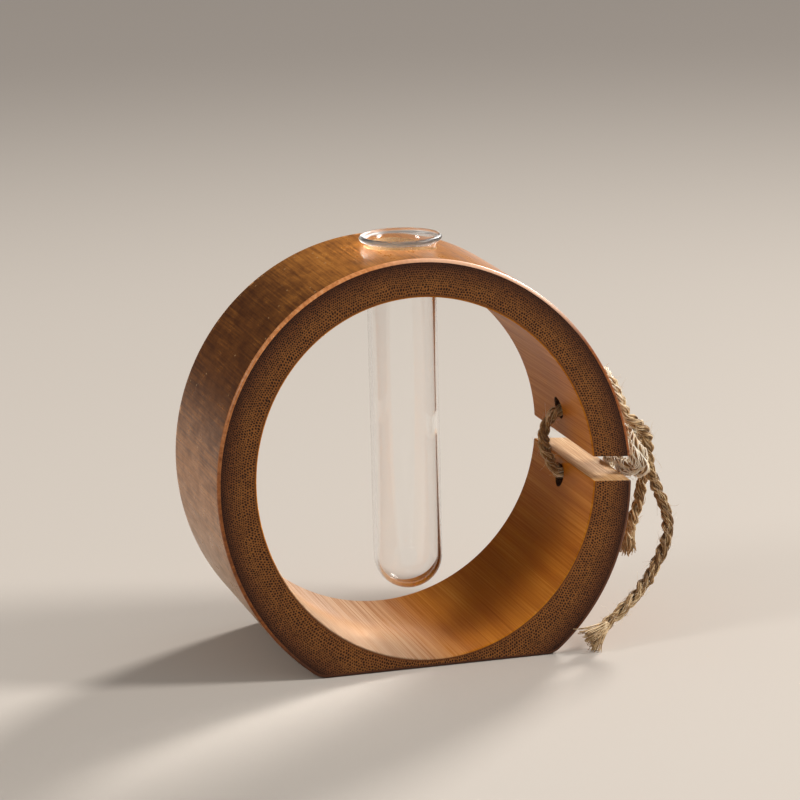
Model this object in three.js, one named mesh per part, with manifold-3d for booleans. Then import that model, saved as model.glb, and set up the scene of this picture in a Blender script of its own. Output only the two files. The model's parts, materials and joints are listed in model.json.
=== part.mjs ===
// A vase made of a slice of bamboo culm standing on a sawn foot, with a glass test tube hung in its crown
// and a jute twine tied through two holes across a slit in its wall. Millimetres, +Z up, origin under the ring.
import * as THREE from 'three';
import { mergeVertices } from 'three/addons/utils/BufferGeometryUtils.js';
import Module from 'manifold-3d';

const wasm = await Module();
wasm.setup();

// Glass test tube
const TUBE_DIAMETER = 19.6;
const TUBE_WALL = 1.1;
const TUBE_LENGTH = 101.8;
const TUBE_X = 3;
const TUBE_Y = 9.5;
const LIP_DIAMETER = 23.2;
const LIP_FLARE = 4; // radius of the curve from the neck out to the lip
const TUBE_CLEARANCE = 0.5; // radial, in the hole in the crown
const LIP_SEAT_GAP = 0.3;
const TUBE_SEGMENTS = 36;

// Bamboo ring
const RING_WIDTH = 118;
const TUBE_ROOM = 9.4; // how much taller the ring is than the tube is long
const RING_HEIGHT = TUBE_LENGTH + TUBE_ROOM;
const FOOT_CUT = 10.8; // how much of the culm's height was sawn away under the foot
const SIDE_WALL = 11;
const CROWN_WALL = 10.4;
const FLOOR_WALL = 2.4;
const FOOT_DEPTH = 61;
const CROWN_DEPTH = 45; // the front face leans back, so the ring is shallower at the crown
const FOOT_EASE = 2.2; // length taken off each side corner of the foot
const EDGE_CHAMFER = 0.9;
const RING_SEGMENTS = 48;

// Slit sawn through the wall on the +X side, falling a little towards the outside
const SLIT_WIDTH = 6.7;
const SLIT_TILT = 4.2; // degrees
const SLIT_DROP = 0.6; // how far its middle lies below the middle of the culm

// Twine holes, drilled radially above and below the slit
const TWINE_HOLE_DIAMETER = 6.5;
const TWINE_HOLE_Y = 4.5;
const UPPER_HOLE_ANGLE = 13.5; // degrees above the middle of the culm
const LOWER_HOLE_ANGLE = -10.3;
const TWINE_HOLE_SEGMENTS = 24;

// Jute twine
const TWINE_DIAMETER = 3.5;
const KNOT_STRAND_DIAMETER = 4.2; // the lay opens where the twine is knotted
const STRETCH_GAP = 0.3;
const TWINE_SIDES = 8;
const LONG_FRAY = { length: 8, width: 6.2, thickness: 3.6 };
const SHORT_FRAY = { length: 6, width: 4.8, thickness: 4.8 };

// The twine's route from its long tail to its short one. Each list ends where the next begins.
const LONG_TAIL_POINTS = [
  [46.4, -31, 5.3], [50.9, -29.6, 8.4], [55.9, -27.8, 11.5], [61.2, -25.2, 15.4], [65, -23, 19.1],
  [68.1, -20.8, 22.6], [70.5, -18.6, 26.2], [72, -16.4, 29.9], [72.1, -14, 34.2], [70.9, -11.6, 39],
];
const KNOT_CORE_POINTS = [
  [69.6, -9.5, 43.2], [69.2, -8.5, 47.1], [69.3, -8.1, 51.1], [68.3, -8.6, 55.2], [65.3, -9.4, 58.5],
];
const UPPER_RUN_POINTS = [
  [62.3, -9.9, 61.1], [60.6, -10.2, 64.4], [59.3, -10, 67.8], [58, -8.6, 70.7], [57.1, -4.8, 72.6],
  [58.7, -0.9, 71.9], [60.8, 2.1, 69.4], [61.9, 4.1, 66.6], [60.7, 4.6, 64.2],
];
const INNER_LOOP_POINTS = [
  [58, 4.5, 63.2], [52.3, 4.5, 61.8], [47.6, 4.5, 60.7], [44.6, 4.5, 58.9], [42.9, 4.5, 56.2], [42.3, 4.5, 53],
  [42.8, 4.5, 49.8], [44.1, 4.5, 46.4], [46.2, 4.5, 43.5], [49.4, 4.5, 42.1], [52.9, 4.5, 41.4],
];
const LOWER_RUN_POINTS = [
  [58.3, 4.5, 40.4], [60.4, 4.6, 40.2], [62, 4.9, 41.2], [62.4, 5.2, 43.1], [61.8, 4.7, 45.4],
  [61.1, 1.8, 46.8],
];
const KNOT_WRAP_POINTS = [
  [61.1, -2.4, 46.9], [61.5, -6.4, 46.3], [62.6, -10.5, 45.6], [64.2, -13.8, 45.9], [64.9, -15.5, 47.9],
  [63.9, -15.9, 50.4], [62.6, -14.5, 52.7], [62.2, -11.3, 54.6], [63.5, -7.2, 55.7], [66.7, -4, 55.6],
  [69.2, -3.4, 51.6], [69.7, -3.7, 46.5],
];
const SHORT_TAIL_POINTS = [
  [69.1, -4.5, 42.1], [68.3, -4.5, 38.7], [67.8, -4.2, 34.3], [66.3, -4, 30.2], [65.1, -4, 26.2],
  [64.7, -4, 23.8],
];

// Sizes that follow from the driving dimensions
const culmHalfWidth = RING_WIDTH / 2;
const culmHalfHeight = (RING_HEIGHT + FOOT_CUT) / 2;
const culmMiddleZ = RING_HEIGHT - culmHalfHeight;
const boreHalfWidth = culmHalfWidth - SIDE_WALL;
const boreTopZ = RING_HEIGHT - CROWN_WALL;
const boreHalfHeight = (boreTopZ - FLOOR_WALL) / 2;
const boreMiddleZ = FLOOR_WALL + boreHalfHeight;
const backY = FOOT_DEPTH / 2;
const tubeRadius = TUBE_DIAMETER / 2;
const tubeHoleRadius = tubeRadius + TUBE_CLEARANCE;
const cutMargin = 4; // how far a cutter runs past the wood

function toSolid(geometry) {
  const bare = geometry.clone();
  bare.deleteAttribute('normal');
  bare.deleteAttribute('uv');
  const merged = mergeVertices(bare);
  const vertProperties = new Float32Array(merged.attributes.position.array);
  const triVerts = new Uint32Array(merged.index.array);
  return new wasm.Manifold(new wasm.Mesh({ numProp: 3, vertProperties, triVerts }));
}

function toGeometry(solid) {
  const mesh = solid.getMesh();
  const geometry = new THREE.BufferGeometry();
  geometry.setAttribute('position', new THREE.BufferAttribute(mesh.vertProperties, 3));
  geometry.setIndex(new THREE.BufferAttribute(mesh.triVerts, 1));
  geometry.computeVertexNormals();
  return geometry;
}

function piece(name, geometry, material) {
  const mesh = new THREE.Mesh(geometry, material);
  mesh.name = name;
  return mesh;
}

// The ring's outline seen from the front: the culm's oval with its foot sawn flat and the foot's corners eased
function ringOutline() {
  const footAngle = Math.asin(culmMiddleZ / culmHalfHeight);
  const footHalfWidth = culmHalfWidth * Math.cos(footAngle);
  const easeAngle = footAngle - FOOT_EASE / culmHalfHeight;
  const outline = new THREE.Shape();
  outline.moveTo(footHalfWidth - FOOT_EASE, 0);
  outline.quadraticCurveTo(
    footHalfWidth, 0,
    culmHalfWidth * Math.cos(easeAngle), culmMiddleZ - culmHalfHeight * Math.sin(easeAngle),
  );
  outline.absellipse(0, culmMiddleZ, culmHalfWidth, culmHalfHeight, -easeAngle, Math.PI + easeAngle, false);
  outline.quadraticCurveTo(-footHalfWidth, 0, FOOT_EASE - footHalfWidth, 0);
  outline.closePath();
  const bore = new THREE.Path();
  bore.absellipse(0, boreMiddleZ, boreHalfWidth, boreHalfHeight, 0, 2 * Math.PI, true);
  outline.holes.push(bore);
  return outline;
}

// Draws the front face back towards the crown, and leaves the back face upright
function leanFrontFace(geometry) {
  const position = geometry.attributes.position;
  for (let i = 0; i < position.count; i += 1) {
    const share = (backY - position.getY(i)) / FOOT_DEPTH;
    const depth = FOOT_DEPTH + (CROWN_DEPTH - FOOT_DEPTH) * position.getZ(i) / RING_HEIGHT;
    position.setY(i, backY - share * depth);
  }
}

function culmBlank() {
  const blank = new THREE.ExtrudeGeometry(ringOutline(), {
    depth: FOOT_DEPTH - 2 * EDGE_CHAMFER,
    curveSegments: RING_SEGMENTS,
    bevelEnabled: true,
    bevelSegments: 1,
    bevelThickness: EDGE_CHAMFER,
    bevelSize: EDGE_CHAMFER,
    bevelOffset: -EDGE_CHAMFER,
  });
  blank.rotateX(Math.PI / 2);
  blank.translate(0, backY - EDGE_CHAMFER, 0);
  leanFrontFace(blank);
  return toSolid(blank);
}

function slitCutter() {
  const cutter = new THREE.BoxGeometry(SIDE_WALL + 2 * cutMargin, FOOT_DEPTH + 2 * cutMargin, SLIT_WIDTH);
  cutter.rotateY(THREE.MathUtils.degToRad(SLIT_TILT));
  cutter.translate(culmHalfWidth - SIDE_WALL / 2, 0, culmMiddleZ - SLIT_DROP);
  return toSolid(cutter);
}

function twineHoleCutter(angle) {
  const length = SIDE_WALL + 2 * cutMargin;
  const radius = TWINE_HOLE_DIAMETER / 2;
  const cutter = new THREE.CylinderGeometry(radius, radius, length, TWINE_HOLE_SEGMENTS);
  cutter.rotateZ(Math.PI / 2);
  cutter.translate(culmHalfWidth - SIDE_WALL / 2, 0, 0);
  cutter.rotateY(-THREE.MathUtils.degToRad(angle));
  cutter.translate(0, TWINE_HOLE_Y, culmMiddleZ);
  return toSolid(cutter);
}

function tubeHoleCutter() {
  const length = CROWN_WALL + 2 * cutMargin;
  const cutter = new THREE.CylinderGeometry(tubeHoleRadius, tubeHoleRadius, length, TUBE_SEGMENTS);
  cutter.rotateX(Math.PI / 2);
  cutter.translate(TUBE_X, TUBE_Y, RING_HEIGHT - CROWN_WALL / 2);
  return toSolid(cutter);
}

function bambooRing() {
  const ring = culmBlank()
    .subtract(slitCutter())
    .subtract(twineHoleCutter(UPPER_HOLE_ANGLE))
    .subtract(twineHoleCutter(LOWER_HOLE_ANGLE))
    .subtract(tubeHoleCutter());
  return toGeometry(ring);
}

// An arc of the tube's profile, as points of radius and height; angles in radians, from the radius axis
function profileArc(centreR, centreZ, radius, from, to, steps) {
  const points = [];
  for (let i = 0; i <= steps; i += 1) {
    const angle = from + (to - from) * i / steps;
    points.push(new THREE.Vector2(centreR + radius * Math.cos(angle), centreZ + radius * Math.sin(angle)));
  }
  return points;
}

// The tube stands in its own heights: 0 where its neck begins to flare
function glassTube() {
  const midFlare = LIP_FLARE + TUBE_WALL / 2;
  const lipCos = (tubeRadius + midFlare - LIP_DIAMETER / 2) / midFlare;
  const lipAngle = Math.acos(lipCos);
  const flareCentreR = tubeRadius + LIP_FLARE;
  const lipMiddleR = flareCentreR - midFlare * lipCos;
  const lipMiddleZ = midFlare * Math.sin(lipAngle);
  const lipTopZ = lipMiddleZ + TUBE_WALL / 2;
  const bottomZ = lipTopZ - TUBE_LENGTH + tubeRadius;
  const arcSteps = 8;
  const bottom = profileArc(0, bottomZ, tubeRadius, -Math.PI / 2, 0, arcSteps);
  const flare = profileArc(flareCentreR, 0, LIP_FLARE, Math.PI, Math.PI - lipAngle, arcSteps);
  const edge = profileArc(lipMiddleR, lipMiddleZ, TUBE_WALL / 2, -lipAngle, Math.PI - lipAngle, arcSteps);
  const throat = profileArc(flareCentreR, 0, LIP_FLARE + TUBE_WALL, Math.PI - lipAngle, Math.PI, arcSteps);
  const inside = profileArc(0, bottomZ, tubeRadius - TUBE_WALL, 0, -Math.PI / 2, arcSteps);
  const profile = [...bottom, ...flare, ...edge.slice(1, -1), ...throat, ...inside];
  profile[0].x = 0;
  profile[profile.length - 1].x = 0;
  const tube = new THREE.LatheGeometry(profile, TUBE_SEGMENTS);
  tube.rotateX(Math.PI / 2);
  return tube;
}

// Height of the tube's neck when the underside of its lip sits on the crown at the edge of the hole
function tubeSeatZ() {
  const seatAngle = Math.acos(1 - TUBE_CLEARANCE / LIP_FLARE);
  return RING_HEIGHT + LIP_SEAT_GAP - LIP_FLARE * Math.sin(seatAngle);
}

// A stretch of the twine's route between two distances along it
class Stretch extends THREE.Curve {
  constructor(route, from, to) {
    super();
    this.route = route;
    this.from = from;
    this.to = to;
  }

  getPoint(t, target = new THREE.Vector3()) {
    const distance = this.from + (this.to - this.from) * t;
    return this.route.getPointAt(distance / this.route.getLength(), target);
  }
}

const twineLists = [
  LONG_TAIL_POINTS, KNOT_CORE_POINTS, UPPER_RUN_POINTS, INNER_LOOP_POINTS, LOWER_RUN_POINTS, KNOT_WRAP_POINTS,
  SHORT_TAIL_POINTS,
];
const twinePoints = twineLists.flat().map((point) => new THREE.Vector3(...point));
const spanDivisions = 40;
const twineRoute = new THREE.CatmullRomCurve3(twinePoints);
twineRoute.arcLengthDivisions = spanDivisions * (twinePoints.length - 1);
const twineLengths = twineRoute.getLengths();

// Where a list of points begins and ends along the route
function listSpan(list) {
  const index = twineLists.indexOf(list);
  const first = twineLists.slice(0, index).flat().length;
  const last = Math.min(first + list.length, twinePoints.length - 1);
  return [twineLengths[first * spanDivisions], twineLengths[last * spanDivisions]];
}

function twineTube(list, diameter, stepLength) {
  const [start, end] = listSpan(list);
  const stretch = new Stretch(twineRoute, start + STRETCH_GAP / 2, end - STRETCH_GAP / 2);
  const section = new THREE.Shape();
  section.absarc(0, 0, diameter / 2, 0, 2 * Math.PI, false);
  return new THREE.ExtrudeGeometry(section, {
    steps: Math.ceil((end - start) / stepLength),
    curveSegments: TWINE_SIDES / 2,
    bevelEnabled: false,
    extrudePath: stretch,
  });
}

// A tuft of loose fibres that opens out from the twine's end, wide in the upright plane that the end lies in
function frayedEnd(end, inner, fray) {
  const sides = 12;
  const rings = 3;
  const tuft = new THREE.CylinderGeometry(fray.width / 2, TWINE_DIAMETER / 2, fray.length, sides, rings);
  const flatness = 1 - fray.thickness / fray.width;
  const position = tuft.attributes.position;
  for (let i = 0; i < position.count; i += 1) {
    const opened = position.getY(i) / fray.length + 0.5;
    position.setX(i, position.getX(i) * (1 - opened * flatness));
  }
  const outward = end.clone().sub(inner).normalize();
  const side = new THREE.Vector3(0, 0, 1).cross(outward).normalize();
  const across = new THREE.Vector3().crossVectors(side, outward);
  tuft.translate(0, fray.length / 2 - TWINE_DIAMETER, 0);
  tuft.applyMatrix4(new THREE.Matrix4().makeBasis(side, outward, across));
  tuft.translate(end.x, end.y, end.z);
  return tuft;
}

const runStep = 4; // distance between a free stretch's rings
const bendStep = 2.2; // the same on the tight bends of the tie and the knot

function twineTail(list, end, inner, fray) {
  const tube = toSolid(twineTube(list, TWINE_DIAMETER, runStep));
  return toGeometry(tube.add(toSolid(frayedEnd(end, inner, fray))));
}

function twineKnot() {
  const core = toSolid(twineTube(KNOT_CORE_POINTS, KNOT_STRAND_DIAMETER, bendStep));
  const wrap = toSolid(twineTube(KNOT_WRAP_POINTS, KNOT_STRAND_DIAMETER, bendStep));
  return toGeometry(core.add(wrap));
}

const bamboo = new THREE.MeshStandardMaterial({ color: 0x8a5524, roughness: 0.5, metalness: 0 });
const glass = new THREE.MeshStandardMaterial({
  color: 0xeef4f2, roughness: 0.05, metalness: 0, transparent: true, opacity: 0.35,
});
const jute = new THREE.MeshStandardMaterial({ color: 0xb59a6a, roughness: 0.9, metalness: 0 });

const tube = piece('glass_tube', glassTube(), glass);
tube.position.set(TUBE_X, TUBE_Y, tubeSeatZ());

const routeEnd = twinePoints.length - 1;
const longTail = twineTail(LONG_TAIL_POINTS, twinePoints[0], twinePoints[1], LONG_FRAY);
const shortTail = twineTail(SHORT_TAIL_POINTS, twinePoints[routeEnd], twinePoints[routeEnd - 1], SHORT_FRAY);

const vase = new THREE.Group();
vase.add(
  piece('bamboo_ring', bambooRing(), bamboo),
  tube,
  piece('twine_inner_loop', twineTube(INNER_LOOP_POINTS, TWINE_DIAMETER, bendStep), jute.clone()),
  piece('twine_upper_run', twineTube(UPPER_RUN_POINTS, TWINE_DIAMETER, bendStep), jute.clone()),
  piece('twine_lower_run', twineTube(LOWER_RUN_POINTS, TWINE_DIAMETER, bendStep), jute.clone()),
  piece('twine_knot', twineKnot(), jute.clone()),
  piece('twine_long_tail', longTail, jute.clone()),
  piece('twine_short_tail', shortTail, jute.clone()),
);

export default vase;
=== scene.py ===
"""Looks of a bamboo ring vase with a hanging test tube and a jute tie. Metres, +Z up, in the CAD frame."""

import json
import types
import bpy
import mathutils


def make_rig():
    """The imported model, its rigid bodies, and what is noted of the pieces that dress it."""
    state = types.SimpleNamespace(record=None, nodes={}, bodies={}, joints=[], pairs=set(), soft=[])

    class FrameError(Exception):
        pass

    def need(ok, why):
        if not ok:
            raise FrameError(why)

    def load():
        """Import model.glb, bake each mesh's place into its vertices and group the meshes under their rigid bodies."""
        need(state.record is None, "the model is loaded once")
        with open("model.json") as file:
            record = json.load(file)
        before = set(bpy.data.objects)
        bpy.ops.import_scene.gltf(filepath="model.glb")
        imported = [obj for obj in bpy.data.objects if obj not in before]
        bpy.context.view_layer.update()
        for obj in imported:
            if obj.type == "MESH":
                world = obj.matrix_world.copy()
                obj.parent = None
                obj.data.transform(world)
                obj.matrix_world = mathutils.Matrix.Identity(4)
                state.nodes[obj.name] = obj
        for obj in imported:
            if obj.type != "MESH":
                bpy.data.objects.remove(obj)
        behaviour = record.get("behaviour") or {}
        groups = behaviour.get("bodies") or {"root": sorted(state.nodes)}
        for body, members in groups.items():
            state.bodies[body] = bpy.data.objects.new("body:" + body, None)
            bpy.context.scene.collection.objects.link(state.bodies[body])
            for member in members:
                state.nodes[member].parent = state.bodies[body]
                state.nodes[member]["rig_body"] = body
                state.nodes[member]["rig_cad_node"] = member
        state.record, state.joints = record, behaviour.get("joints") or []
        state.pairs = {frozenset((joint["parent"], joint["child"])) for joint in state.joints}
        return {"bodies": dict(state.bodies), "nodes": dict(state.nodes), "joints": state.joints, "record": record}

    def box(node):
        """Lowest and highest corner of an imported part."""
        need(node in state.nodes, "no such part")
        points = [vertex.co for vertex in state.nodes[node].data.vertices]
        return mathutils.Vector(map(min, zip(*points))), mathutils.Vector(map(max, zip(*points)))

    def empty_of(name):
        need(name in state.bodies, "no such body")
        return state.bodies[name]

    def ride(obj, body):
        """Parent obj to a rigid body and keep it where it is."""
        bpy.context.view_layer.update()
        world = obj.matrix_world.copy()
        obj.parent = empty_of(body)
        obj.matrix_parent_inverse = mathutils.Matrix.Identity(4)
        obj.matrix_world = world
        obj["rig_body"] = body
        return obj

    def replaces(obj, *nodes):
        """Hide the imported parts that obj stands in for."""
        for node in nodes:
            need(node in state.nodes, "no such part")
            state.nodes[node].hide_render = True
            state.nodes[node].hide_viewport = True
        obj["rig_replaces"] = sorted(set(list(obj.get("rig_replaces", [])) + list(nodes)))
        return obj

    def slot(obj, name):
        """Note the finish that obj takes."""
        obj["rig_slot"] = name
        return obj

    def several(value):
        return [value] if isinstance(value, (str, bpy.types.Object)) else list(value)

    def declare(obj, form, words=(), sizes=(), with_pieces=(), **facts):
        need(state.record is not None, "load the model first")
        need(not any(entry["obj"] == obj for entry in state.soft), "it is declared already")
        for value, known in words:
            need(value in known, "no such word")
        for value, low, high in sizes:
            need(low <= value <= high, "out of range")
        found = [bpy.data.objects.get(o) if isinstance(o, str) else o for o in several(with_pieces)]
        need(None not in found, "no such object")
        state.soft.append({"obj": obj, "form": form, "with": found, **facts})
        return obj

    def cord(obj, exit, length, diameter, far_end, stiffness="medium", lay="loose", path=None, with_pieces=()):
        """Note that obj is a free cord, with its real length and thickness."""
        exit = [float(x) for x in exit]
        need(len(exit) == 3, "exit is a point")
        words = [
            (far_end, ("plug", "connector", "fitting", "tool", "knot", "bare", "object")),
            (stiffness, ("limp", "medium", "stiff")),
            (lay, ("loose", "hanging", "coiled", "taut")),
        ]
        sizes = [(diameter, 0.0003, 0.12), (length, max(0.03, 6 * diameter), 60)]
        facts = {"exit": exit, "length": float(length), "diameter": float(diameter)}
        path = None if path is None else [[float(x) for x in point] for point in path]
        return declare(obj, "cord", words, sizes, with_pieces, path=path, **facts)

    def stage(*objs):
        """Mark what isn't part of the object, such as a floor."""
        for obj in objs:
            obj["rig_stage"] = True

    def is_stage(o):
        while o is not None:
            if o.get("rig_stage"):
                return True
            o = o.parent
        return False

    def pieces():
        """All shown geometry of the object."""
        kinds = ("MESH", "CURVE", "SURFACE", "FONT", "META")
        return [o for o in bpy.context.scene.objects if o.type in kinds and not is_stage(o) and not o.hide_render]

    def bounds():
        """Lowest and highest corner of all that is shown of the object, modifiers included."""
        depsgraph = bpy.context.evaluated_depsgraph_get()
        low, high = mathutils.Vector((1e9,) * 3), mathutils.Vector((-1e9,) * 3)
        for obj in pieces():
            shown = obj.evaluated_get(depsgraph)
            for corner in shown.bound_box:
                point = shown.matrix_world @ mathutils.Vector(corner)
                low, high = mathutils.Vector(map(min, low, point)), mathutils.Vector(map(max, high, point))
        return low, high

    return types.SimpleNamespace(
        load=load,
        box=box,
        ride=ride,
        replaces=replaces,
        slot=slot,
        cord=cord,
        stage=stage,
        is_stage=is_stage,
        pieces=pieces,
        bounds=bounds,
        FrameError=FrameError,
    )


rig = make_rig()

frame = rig.load()
cad_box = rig.bounds()

import json
import math
import random

import bmesh
import bpy
import numpy as np
from mathutils import Matrix, Vector

MM = 0.001

# Sizes shared with the CAD model
SIDE_WALL = 11 * MM
CROWN_WALL = 10.4 * MM
FLOOR_WALL = 2.4 * MM
FOOT_CUT = 10.8 * MM
FOOT_EASE = 2.2 * MM
CROWN_DEPTH = 45 * MM
EDGE_CHAMFER = 0.9 * MM
SLIT_WIDTH = 6.7 * MM
SLIT_TILT = math.radians(4.2)
SLIT_DROP = 0.6 * MM
TWINE_HOLE_DIAMETER = 6.5 * MM
TWINE_HOLE_Y = 4.5 * MM
TWINE_HOLE_ANGLES = (math.radians(13.5), math.radians(-10.3))
TUBE_DIAMETER = 19.6 * MM
TUBE_WALL = 1.1 * MM
TUBE_CLEARANCE = 0.5 * MM
LIP_FLARE = 4 * MM
TWINE_DIAMETER = 3.5 * MM

# Sizes that only the looks have
BORE_EDGE_ROUND = 0.35 * MM
SLIT_EDGE_ROUND = 0.3 * MM
LIP_BEAD_RADIUS = 0.75 * MM

# The twine's route from its long tail to its short one. Each list goes on from the one before.
LONG_TAIL = [
    (0.0464, -0.031, 0.0053), (0.0509, -0.0296, 0.0084), (0.0559, -0.0278, 0.0115),
    (0.0612, -0.0252, 0.0154), (0.065, -0.023, 0.0191), (0.0681, -0.0208, 0.0226),
    (0.0705, -0.0186, 0.0262), (0.072, -0.0164, 0.0299), (0.0721, -0.014, 0.0342),
    (0.0709, -0.0116, 0.039),
]
KNOT_CORE = [
    (0.0696, -0.0095, 0.0432), (0.0692, -0.0085, 0.0471), (0.0693, -0.0081, 0.0511),
    (0.0683, -0.0086, 0.0552), (0.0653, -0.0094, 0.0585),
]
UPPER_RUN = [
    (0.0623, -0.0099, 0.0611), (0.0606, -0.0102, 0.0644), (0.0593, -0.01, 0.0678),
    (0.058, -0.0086, 0.0707), (0.0571, -0.0048, 0.0726), (0.0587, -0.0009, 0.0719),
    (0.0608, 0.0021, 0.0694), (0.0619, 0.0041, 0.0666), (0.0607, 0.0046, 0.0642),
]
INNER_LOOP = [
    (0.058, 0.0045, 0.0632), (0.0523, 0.0045, 0.0618), (0.0476, 0.0045, 0.0607),
    (0.0446, 0.0045, 0.0589), (0.0429, 0.0045, 0.0562), (0.0423, 0.0045, 0.053),
    (0.0428, 0.0045, 0.0498), (0.0441, 0.0045, 0.0464), (0.0462, 0.0045, 0.0435),
    (0.0494, 0.0045, 0.0421), (0.0529, 0.0045, 0.0414),
]
LOWER_RUN = [
    (0.0583, 0.0045, 0.0404), (0.0604, 0.0046, 0.0402), (0.062, 0.0049, 0.0412),
    (0.0624, 0.0052, 0.0431), (0.0618, 0.0047, 0.0454), (0.0611, 0.0018, 0.0468),
]
KNOT_WRAP = [
    (0.0611, -0.0024, 0.0469), (0.0615, -0.0064, 0.0463), (0.0626, -0.0105, 0.0456),
    (0.0642, -0.0138, 0.0459), (0.0649, -0.0155, 0.0479), (0.0639, -0.0159, 0.0504),
    (0.0626, -0.0145, 0.0527), (0.0622, -0.0113, 0.0546), (0.0635, -0.0072, 0.0557),
    (0.0667, -0.004, 0.0556), (0.0692, -0.0034, 0.0516), (0.0697, -0.0037, 0.0465),
]
SHORT_TAIL = [
    (0.0691, -0.0045, 0.0421), (0.0683, -0.0045, 0.0387), (0.0678, -0.0042, 0.0343),
    (0.0663, -0.004, 0.0302), (0.0651, -0.004, 0.0262), (0.0647, -0.004, 0.0238),
]
STRETCHES = [LONG_TAIL, KNOT_CORE, UPPER_RUN, INNER_LOOP, LOWER_RUN, KNOT_WRAP, SHORT_TAIL]

# Sizes that follow from the frame and from those above
ring_low, ring_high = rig.box("bamboo_ring")
tube_low, tube_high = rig.box("glass_tube")
culm_half_width = -ring_low.x
ring_height = ring_high.z
back_y = ring_high.y
foot_depth = 2 * back_y
culm_half_height = (ring_height + FOOT_CUT) / 2
culm_middle_z = ring_height - culm_half_height
bore_half_width = culm_half_width - SIDE_WALL
bore_half_height = (ring_height - CROWN_WALL - FLOOR_WALL) / 2
bore_middle_z = FLOOR_WALL + bore_half_height
front_lean = (foot_depth - CROWN_DEPTH) / ring_height
tube_middle = (tube_low + tube_high) / 2
tube_radius = TUBE_DIAMETER / 2
CULM = (culm_half_width, culm_half_height, culm_middle_z)
BORE_OVAL = (bore_half_width, bore_half_height, bore_middle_z)

# Camera, at the photograph's viewing angle
CAMERA_AZIMUTH = math.radians(-15.492)
CAMERA_ELEVATION = math.radians(13.103)
CAMERA_ROLL = math.radians(-1.392)
CAMERA_DISTANCE = 1.0231
CAMERA_TARGET = Vector((0.00011, 0.0036, 0.06792))
CAMERA_LENS = 164.59
CAMERA_SENSOR = 36
CAMERA_CLIP_START = 0.05


def make_camera():
    data = bpy.data.cameras.new("camera")
    data.sensor_width = CAMERA_SENSOR
    data.lens = CAMERA_LENS
    data.clip_start = CAMERA_CLIP_START
    camera = bpy.data.objects.new("camera", data)
    bpy.context.scene.collection.objects.link(camera)
    level = math.cos(CAMERA_ELEVATION)
    back = Vector((
        math.sin(CAMERA_AZIMUTH) * level,
        -math.cos(CAMERA_AZIMUTH) * level,
        math.sin(CAMERA_ELEVATION),
    ))
    turn = back.to_track_quat("Z", "Y").to_matrix() @ Matrix.Rotation(CAMERA_ROLL, 3, "Z")
    camera.matrix_world = Matrix.Translation(CAMERA_TARGET + back * CAMERA_DISTANCE) @ turn.to_4x4()
    bpy.context.scene.camera = camera


class Nodes:
    """A node tree under construction. Apart from node and fill, each method returns an output."""

    def __init__(self, tree):
        self.tree = tree

    def node(self, kind, inputs, **settings):
        made = self.tree.nodes.new("ShaderNode" + kind)
        for name, value in settings.items():
            setattr(made, name, value)
        self.fill(made, inputs)
        return made

    def fill(self, node, inputs):
        """Links a node's inputs to outputs, or sets them to constants."""
        for name, value in inputs.items():
            if isinstance(value, bpy.types.NodeSocket):
                self.tree.links.new(value, node.inputs[name])
            else:
                node.inputs[name].default_value = value

    def math(self, operation, first, second=0.0):
        return self.node("Math", {0: first, 1: second}, operation=operation).outputs[0]

    def plus(self, first, second):
        return self.math("ADD", first, second)

    def minus(self, first, second):
        return self.math("SUBTRACT", first, second)

    def times(self, first, second):
        return self.math("MULTIPLY", first, second)

    def average(self, first, share, second):
        """The first value by its share and the second by the rest."""
        return self.plus(self.times(first, share), self.times(second, 1 - share))

    def vector(self, x, y, z=0.0):
        return self.node("CombineXYZ", {"X": x, "Y": y, "Z": z}).outputs[0]

    def noise(self, vector, scale, detail, roughness=0.55):
        inputs = {"Vector": vector, "Scale": scale, "Detail": detail, "Roughness": roughness}
        return self.node("TexNoise", inputs).outputs[0]

    def step(self, value, low, high, start=0.0, end=1.0):
        """A smooth change from start to end while the value goes from low to high."""
        inputs = {"Value": value, "From Min": low, "From Max": high, "To Min": start, "To Max": end}
        return self.node("MapRange", inputs, interpolation_type="SMOOTHSTEP").outputs[0]

    def mix(self, share, first, second):
        # A colour mix's sockets go by number, because the node has several of each name
        return self.node("Mix", {0: share, 6: first, 7: second}, data_type="RGBA").outputs[2]

    def ramp(self, value, *stops):
        made = self.node("ValToRGB", {"Fac": value})
        elements = made.color_ramp.elements
        while len(elements) < len(stops):
            elements.new(1.0)
        for element, (place, colour) in zip(elements, stops):
            element.position = place
            element.color = colour
        return made.outputs[0]

    def bump(self, height, distance, strength):
        return self.node("Bump", {"Height": height, "Distance": distance, "Strength": strength}).outputs[0]


def start_material(name):
    material = bpy.data.materials.new(name)
    material.use_nodes = True
    return material, Nodes(material.node_tree), material.node_tree.nodes["Principled BSDF"]


def colour(red, green, blue):
    return (red, green, blue, 1.0)


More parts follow.
